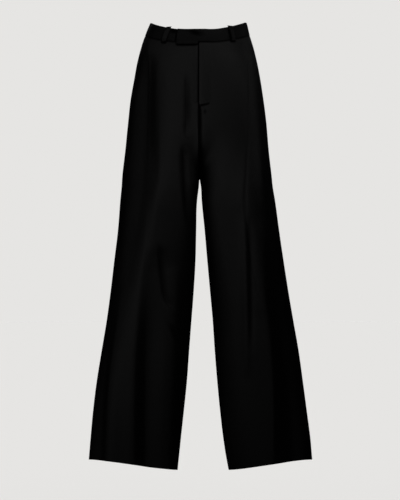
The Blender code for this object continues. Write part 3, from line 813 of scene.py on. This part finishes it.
strips = {key: [] for key in panels}
strips["left", "back"].append(crotch_tape())
for side in ("right", "left"):
    front, back = (side, "front"), (side, "back")
    strips[front] += [
        seam_strip(f"side_seam_{side}", front, back, True, FIRST_LEVEL - 0.002, TURNED_UP_TO),
        seam_strip(f"inseam_{side}", front, back, False, CROTCH_HEIGHT - 0.004, TURNED_UP_TO),
    ]
for name, face, first in (
    ("front_rise_seam", "front", FLY_BOTTOM - 0.006),
    ("seat_seam", "back", FIRST_LEVEL - 0.002),
):
    strips["right", face].append(
        seam_strip(name, ("right", face), ("left", face), False, first, CROTCH_HEIGHT + 0.0005)
    )


# ------------------------------ The waistband
# Two halves of doubled suiting over a stiff interlining, joined at the centre
# back. Each is folded along its top edge and sewn to the panels below, and the
# left half runs on past the centre front as a tab that closes over the right.
BAND_WALL = 0.0028
BAND_STAND_OFF = 0.0004
TAB_END = 0.0562
TAB_STEP = 0.0036
TAB_LIFT = 0.0033
DIMPLE_PLACE = TAB_END - 0.013
DIMPLE_DEPTH = 0.0050
SLACK_DEPTH = 0.0048

# Painted shade: the band's copy of the suiting has less than half its sheen, so the upward-tilted
# band under the high lights stays as dark as the hips.
band_cloth = suiting("band_cloth", SUITING_SHADE, 0.00011, gloss=0.21)


def share_of_reach(side, reach):
    """The front station at a distance past the centre front."""
    across = cut_size(side + "_out", FRONT_RIM[0][1] - 0.5 * BAND_HEIGHT)
    return 2.0 / np.pi * np.arcsin((reach / across) ** (1.0 / SIDE_SQUARENESS))


def round_half(side):
    """Stations from beside the centre front round to the centre back."""
    front = stepped(0.0, 1.0, 0.016, close_start=False, close_end=False)[1:]
    back = 1.0 - stepped(0.0, 1.0, 0.016, close_start=False)[1:]
    return [(side, "front", front), (side, "back", np.maximum(back, 0.0))]


def band_surface(stations, drop, grow):
    """Points of a strip round the waist; drop is measured down from its top edge."""
    parts = []
    start = 0
    for side, face, shares in stations:
        columns = slice(start, start + len(shares))
        start += len(shares)
        height = rim_height(side, face, shares)[None, :] - drop[:, columns]
        x, y = waist_ring(side, face, shares[None, :], height, grow[:, columns])
        parts.append(placed(side, face, np.maximum(x, 0.0), y, height))
    return np.concatenate(parts, axis=1)


def along_band(stations):
    """Distance along the band at mid height, from its first station."""
    count = sum(len(shares) for _, _, shares in stations)
    level = np.zeros((1, count))
    middle = band_surface(stations, level + 0.5 * BAND_HEIGHT, level)[0]
    steps = np.hypot(*np.diff(middle[:, :2], axis=0).T)
    return np.concatenate(((0.0,), np.cumsum(steps)))


def make_band(name, node, stations, worked, lapping=0.0, extra_drop=0.0):
    """One half of the band; lapping lifts it clear of the other half's end."""
    along = along_band(stations)[None, :]
    to_end = np.minimum(along, along[0, -1] - along)
    height = BAND_HEIGHT + extra_drop + 0.0 * along
    drop = stepped(0.0, BAND_HEIGHT, 0.0024)[:, None] * (height / BAND_HEIGHT)
    to_edge = np.minimum(np.minimum(drop, height - drop), to_end)
    rolled = rounded_edge(to_edge, BAND_WALL)
    # The band is a little crowned between its edges, and never quite even.
    crown = 0.0006 * np.sin(np.pi * np.clip(drop / height, 0.0, 1.0))
    ripple = np.sin(along / 0.0131 + 2.0 * np.sin(along / 0.047))
    uneven = 0.00022 * ripple * np.sin(np.pi * drop / height + 0.4)
    # Each half's own shaping, and the painted shade it gets.
    moved_out, painted_shade = worked(along, drop)
    lifted = BAND_STAND_OFF + TAB_LIFT * lapping + moved_out
    outer = band_surface(stations, drop, lifted + crown + uneven - rolled)
    inner = band_surface(stations, drop, lifted - BAND_WALL + rolled)
    band = cloth_shell(name, outer, inner, along, -drop)
    wear(band, near_to(to_edge, 0.0022, 1), painted_shade=painted_shade)
    band.data.materials.append(band_cloth)
    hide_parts(node)
    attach(band, "root")
    return band


def right_half_worked(along, drop):
    """The right half is drawn in beside the tab's end, with painted shade beside that end, in a patch
    just past it and along its top.
    """
    past_tab = along - FLY_UNDERLAP - TAB_END
    under = 1.0 - smoothstep((past_tab - 0.0035) / 0.0040)
    slack = near_to(past_tab - 0.008, 0.016) * near_to(drop - 0.001, 0.0060)
    beside = 1.0 - smoothstep((past_tab - 0.0052) / 0.0018)
    shade_patch = near_to(past_tab - 0.010, 0.0105, 4) * near_to(drop - 0.0060, 0.0070, 4)
    top_shade = near_to(drop, 0.0040) * (1.0 - smoothstep((past_tab - 0.018) / 0.006))
    painted_shade = np.maximum(np.maximum(beside, 0.9 * shade_patch), 0.8 * top_shade)
    return -0.0026 * under - SLACK_DEPTH * slack, painted_shade


def left_half_worked(along, drop):
    """The tab has a shallow dimple where it passes over the other half's end, with painted shade in a
    hollow there, at its tip and along its top.
    """
    past_dimple = along - DIMPLE_PLACE
    slope = (drop - 0.0105 - 0.0040 / 0.015 * past_dimple) / 0.0052
    dimple = near_to(past_dimple, 0.015) * near_to(slope, 1.0)
    ridge = near_to(past_dimple, 0.015) * near_to(slope - 2.0, 1.0)
    flared = 0.0014 * near_to(along, 0.012)
    hollow_shade = near_to(past_dimple, 0.0165)
    hollow_shade = hollow_shade * near_to(drop - 0.0095 - 0.0035 / 0.0165 * past_dimple, 0.0062)
    tip_shade = 1.0 - smoothstep((along - 0.0008) / 0.0012)
    top_shade = near_to(drop, 0.0036) * (1.0 - smoothstep((along - 0.024) / 0.008))
    painted_shade = np.maximum(np.maximum(0.95 * hollow_shade, tip_shade), 0.75 * top_shade)
    return flared - DIMPLE_DEPTH * dimple + 0.0010 * ridge, painted_shade


under_end = stepped(FLY_UNDERLAP, 0.0, 0.0022, close_end=False)
right_stations = [("left", "front", share_of_reach("left", under_end)), *round_half("right")]
band_right = make_band("band_half_right", "waistband_right", right_stations, right_half_worked)

tab_reach = np.concatenate((
    stepped(TAB_END, TAB_STEP + 0.0004, 0.0022, close_end=False),
    np.array((TAB_STEP, TAB_STEP - 0.0004, 0.0022, 0.0011, 0.0)),
))
left_stations = [("right", "front", share_of_reach("right", tab_reach)), *round_half("left")]
left_along = along_band(left_stations)
left_lapping = 1.0 - smoothstep((left_along - TAB_END - 0.012) / 0.015)
left_drop = np.zeros_like(left_along)
left_drop[: len(tab_reach)] = TAB_EXTRA_DROP * smoothstep((tab_reach - TAB_STEP + 0.0004) / 0.0008)
band_left = make_band(
    "band_half_left", "waistband_left", left_stations, left_half_worked,
    left_lapping, left_drop,
)


# ------------------------------ The belt loops
# Five narrow strips of suiting with folded-in edges, stitched along both sides.
# Each is turned under at its two ends and fixed over the band with bar tacks.
LOOP_WIDTH = 0.0132
LOOP_WALL = 0.0018
LOOP_RISE = 0.0022
LOOP_DROP = 0.0070
LOOP_LENGTH = LOOP_RISE + BAND_HEIGHT + LOOP_DROP
LOOP_BOW = 0.0028
LOOP_CLEARANCE = 0.0016
LOOP_STITCH_INSET = 0.0017
TACK_STITCHES = 15
LOOP_PLACES = (
    # name, side, face, share from the centre to the side seam, lean, slant
    ("front_right", "right", "front", 0.370, 0.0024, 0.0058),
    ("front_left", "left", "front", 0.388, 0.0008, 0.0005),
    ("back_right", "right", "back", 0.520, 0.0, 0.0),
    ("back_left", "left", "back", 0.520, 0.0, 0.0),
    ("centre_back", "right", "back", 0.0, 0.0, 0.0),
)
THREAD_THICKNESS = 0.00032
STITCH_LENGTH = 0.0022
STITCH_GAP = 0.0007

loop_cloth = suiting("loop_cloth", SUITING_SHADE, 0.00010, gloss=0.32)

# The matching polyester thread has a tight twist and a slight shine.
THREAD_SHADE = (0.0062, 0.0057, 0.0060)
black_thread, shader = new_material("black_thread")
place = add_node(black_thread, "ShaderNodeTexCoord", {}).outputs["Object"]
twist = add_node(black_thread, "ShaderNodeTexWave", {
    "Vector": place, "Scale": 900.0,
}, bands_direction="DIAGONAL").outputs["Fac"]
tone = add_node(black_thread, "ShaderNodeValToRGB", {"Fac": twist})
dark, light = tone.color_ramp.elements
dark.color, light.color = tinted(THREAD_SHADE, 0.8), tinted(THREAD_SHADE, 1.5)
bump = add_node(black_thread, "ShaderNodeBump", {
    "Strength": 0.4, "Distance": 0.00005, "Height": twist,
})
set_inputs(shader, {
    "Base Color": tone.outputs["Color"], "Normal": bump.outputs["Normal"], "Roughness": 0.42,
})


def stitches(name, runs, thickness):
    """Small raised threads; each run is its two ends and the way it stands out."""
    around, rings = 6, 5
    points = []
    faces = []
    for start, end, out in runs:
        start, end, out = (np.asarray(value, float) for value in (start, end, out))
        run = end - start
        out = out / np.linalg.norm(out)
        sideways = np.cross(run, out)
        sideways /= np.linalg.norm(sideways)
        first = len(points)
        for ring in range(rings):
            along = ring / (rings - 1)
            raised = np.sin(np.pi * along) ** 0.5 * 0.5 * thickness
            middle = start + run * along + out * (raised - 0.25 * thickness)
            radius = 0.5 * thickness * (0.35 + 0.65 * np.sin(np.pi * along) ** 0.5)
            for step in range(around):
                turn = 2.0 * np.pi * step / around
                spoke = sideways * np.cos(turn) + out * np.sin(turn)
                points.append((middle + radius * spoke).tolist())
        for ring in range(rings - 1):
            for step in range(around):
                a = first + ring * around + step
                b = first + ring * around + (step + 1) % around
                faces.append((a, b, b + around, a + around))
        faces.append([first + step for step in range(around)][::-1])
        last = first + (rings - 1) * around
        faces.append([last + step for step in range(around)])
    row = new_piece(name, points, faces, garment)
    row.data.polygons.foreach_set("use_smooth", [True] * len(faces))
    row.data.materials.append(black_thread)
    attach(row, "root")
    return row


def row_of_stitches(line, outwards):
    """Stitch runs of even length along a line of points."""
    line = np.asarray(line)
    outwards = np.asarray(outwards)
    steps = np.linalg.norm(np.diff(line, axis=0), axis=1)
    along = np.concatenate(((0.0,), np.cumsum(steps)))

    def at(values, place):
        return [np.interp(place, along, values[:, axis]) for axis in range(3)]

    return [
        (at(line, begin), at(line, begin + STITCH_LENGTH), at(outwards, begin + 0.5 * STITCH_LENGTH))
        for begin in np.arange(0.0, along[-1] - STITCH_LENGTH, STITCH_LENGTH + STITCH_GAP)
    ]


def loop_surface(side, face, share, sideways, height, grow):
    """Points of a belt loop, moved sideways along the waist from its middle."""
    x, y = waist_ring(side, face, share, height, grow)
    if share == 0.0:
        return placed("left", face, sideways, y, height)
    next_x, next_y = waist_ring(side, face, share + 0.01, height, grow)
    step = 0.01 / np.hypot(next_x - x, next_y - y)
    x, y = waist_ring(side, face, share + sideways * step, height, grow)
    return placed(side, face, x, y, height)


def loop_bow(along):
    """How far a loop stands off the band, between its two fixed ends."""
    return LOOP_BOW * smoothstep(along / 0.3) * smoothstep((1.0 - along) / 0.3)


for name, side, face, share, lean, slant in LOOP_PLACES:
    rim = float(rim_height(side, face, np.array([share]))[0])
    down = stepped(0.0, LOOP_LENGTH, 0.0020)[:, None]
    up = LOOP_LENGTH - down
    sideways = stepped(-0.5 * LOOP_WIDTH, 0.5 * LOOP_WIDTH, 0.0012)[None, :]
    # A front loop slants, its top end nearer the centre than its foot.
    slanted = slant * (down / LOOP_LENGTH - 0.5)
    bow = loop_bow(down / LOOP_LENGTH)
    to_edge = np.minimum(0.5 * LOOP_WIDTH - np.abs(sideways), np.minimum(down, up))
    rolled = rounded_edge(to_edge, LOOP_WALL)
    # The stitching sinks in along both sides, and the turned ends stand a little thicker.
    off_stitch = 0.5 * LOOP_WIDTH - np.abs(sideways) - LOOP_STITCH_INSET
    sewn = 0.00022 * near_to(off_stitch, 0.0005)
    ends = 0.0004 * (smoothstep((0.006 - down) / 0.002) + smoothstep((0.006 - up) / 0.002))
    tucked = 0.0011 * smoothstep((0.0020 - down) / 0.0020)
    # A front loop stands off a little more along its edge towards the wearer's right.
    towards = -2.0 * SIGNS[side] * sideways / LOOP_WIDTH
    clear = LOOP_CLEARANCE + bow + lean * towards * bow / LOOP_BOW - tucked
    surface = clear + LOOP_WALL + ends - sewn
    height = rim + LOOP_RISE - down
    outer = loop_surface(side, face, share, sideways + slanted, height, surface - rolled)
    inner = loop_surface(side, face, share, sideways + slanted, height, clear + rolled)
    loop = cloth_shell(f"loop_{name}", outer, inner, sideways, -down)
    # Painted shade along a front loop's edge towards the wearer's right and at its foot.
    shaded = 0.0
    if face == "front":
        edge, foot = smoothstep((towards - 0.42) / 0.25), smoothstep((0.0045 - up) / 0.0015)
        shaded = 0.9 * np.maximum(edge, foot)
    wear(loop, near_to(to_edge, 0.0012, 1), painted_shade=shaded)
    loop.data.materials.append(loop_cloth)
    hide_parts(f"belt_loop_{name}")
    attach(loop, "root")

    runs = []
    away = outer - inner
    rows = slice(8, -8)
    for edge in (-1.0, 1.0):
        place = edge * (0.5 * LOOP_WIDTH - LOOP_STITCH_INSET)
        column = int(np.argmin(np.abs(sideways[0] - place)))
        lift = surface[:, column:column + 1]
        line = loop_surface(side, face, share, place + slanted, height, lift)[rows, 0]
        runs += row_of_stitches(line, away[rows, column])
    # A bar tack at each end: close stitches side by side, each a little askew.
    for middle in (0.0042, LOOP_LENGTH - 0.0040):
        row = int(np.argmin(np.abs(down[:, 0] - middle)))
        for step in range(TACK_STITCHES):
            place = (step / (TACK_STITCHES - 1) - 0.5) * (LOOP_WIDTH - 0.0030)
            tack = []
            for further, askew in ((0.0009, -0.0002), (-0.0009, 0.0002)):
                at = np.array([[middle + further]])
                lift = LOOP_CLEARANCE + loop_bow(at / LOOP_LENGTH) + LOOP_WALL + 0.0004
                across = place + askew + slant * (at / LOOP_LENGTH - 0.5)
                height = rim + LOOP_RISE - at
                tack.append(loop_surface(side, face, share, across, height, lift)[0, 0])
            column = int(np.argmin(np.abs(sideways[0] - place)))
            runs.append((*tack, away[row, column]))
    thread = stitches(f"loop_stitching_{name}", runs, THREAD_THICKNESS)


# ------------------------------ The fly stitching
# One row of matching thread holds the fly facing down the left front and curves
# in to the centre seam, where a short bar tack closes it.
FLY_CORNER = 0.014
FLY_STITCH_TOP = -0.052
FLY_TACK_STITCHES = 9

line_x = [FLY_STITCH] * 24
line_z = list(np.linspace(FLY_STITCH_TOP, FLY_BOTTOM + FLY_CORNER, 24))
for turn in np.linspace(0.0, 0.5 * math.pi, 12)[1:]:
    line_x.append(FLY_STITCH - (FLY_STITCH - 0.002) * (1.0 - math.cos(turn)))
    line_z.append(FLY_BOTTOM + FLY_CORNER - (FLY_CORNER + 0.001) * math.sin(turn))


def on_left_front(x, height):
    """The point of the left front's skin in front of a place."""
    share = np.linspace(0.0, 0.20, 161)[None, :]
    level = np.array([[height], [height - 0.0005]])
    skin = panel_surface("left", "front", share, level, 0.0)
    return x, *(float(np.interp(x, skin[0, :, 0], skin[0, :, axis])) for axis in (1, 2))


forwards = (0.0, -1.0, 0.0)
line = [on_left_front(x, z) for x, z in zip(line_x, line_z)]
fly_runs = row_of_stitches(line, [forwards] * len(line))
for step in range(FLY_TACK_STITCHES):
    start = on_left_front(0.0008 + 0.0004 * step, FLY_BOTTOM + 0.0024)
    end = on_left_front(0.0010 + 0.0004 * step, FLY_BOTTOM - 0.0040)
    fly_runs.append((start, end, forwards))
stitches("fly_stitching", fly_runs, 0.7 * THREAD_THICKNESS)
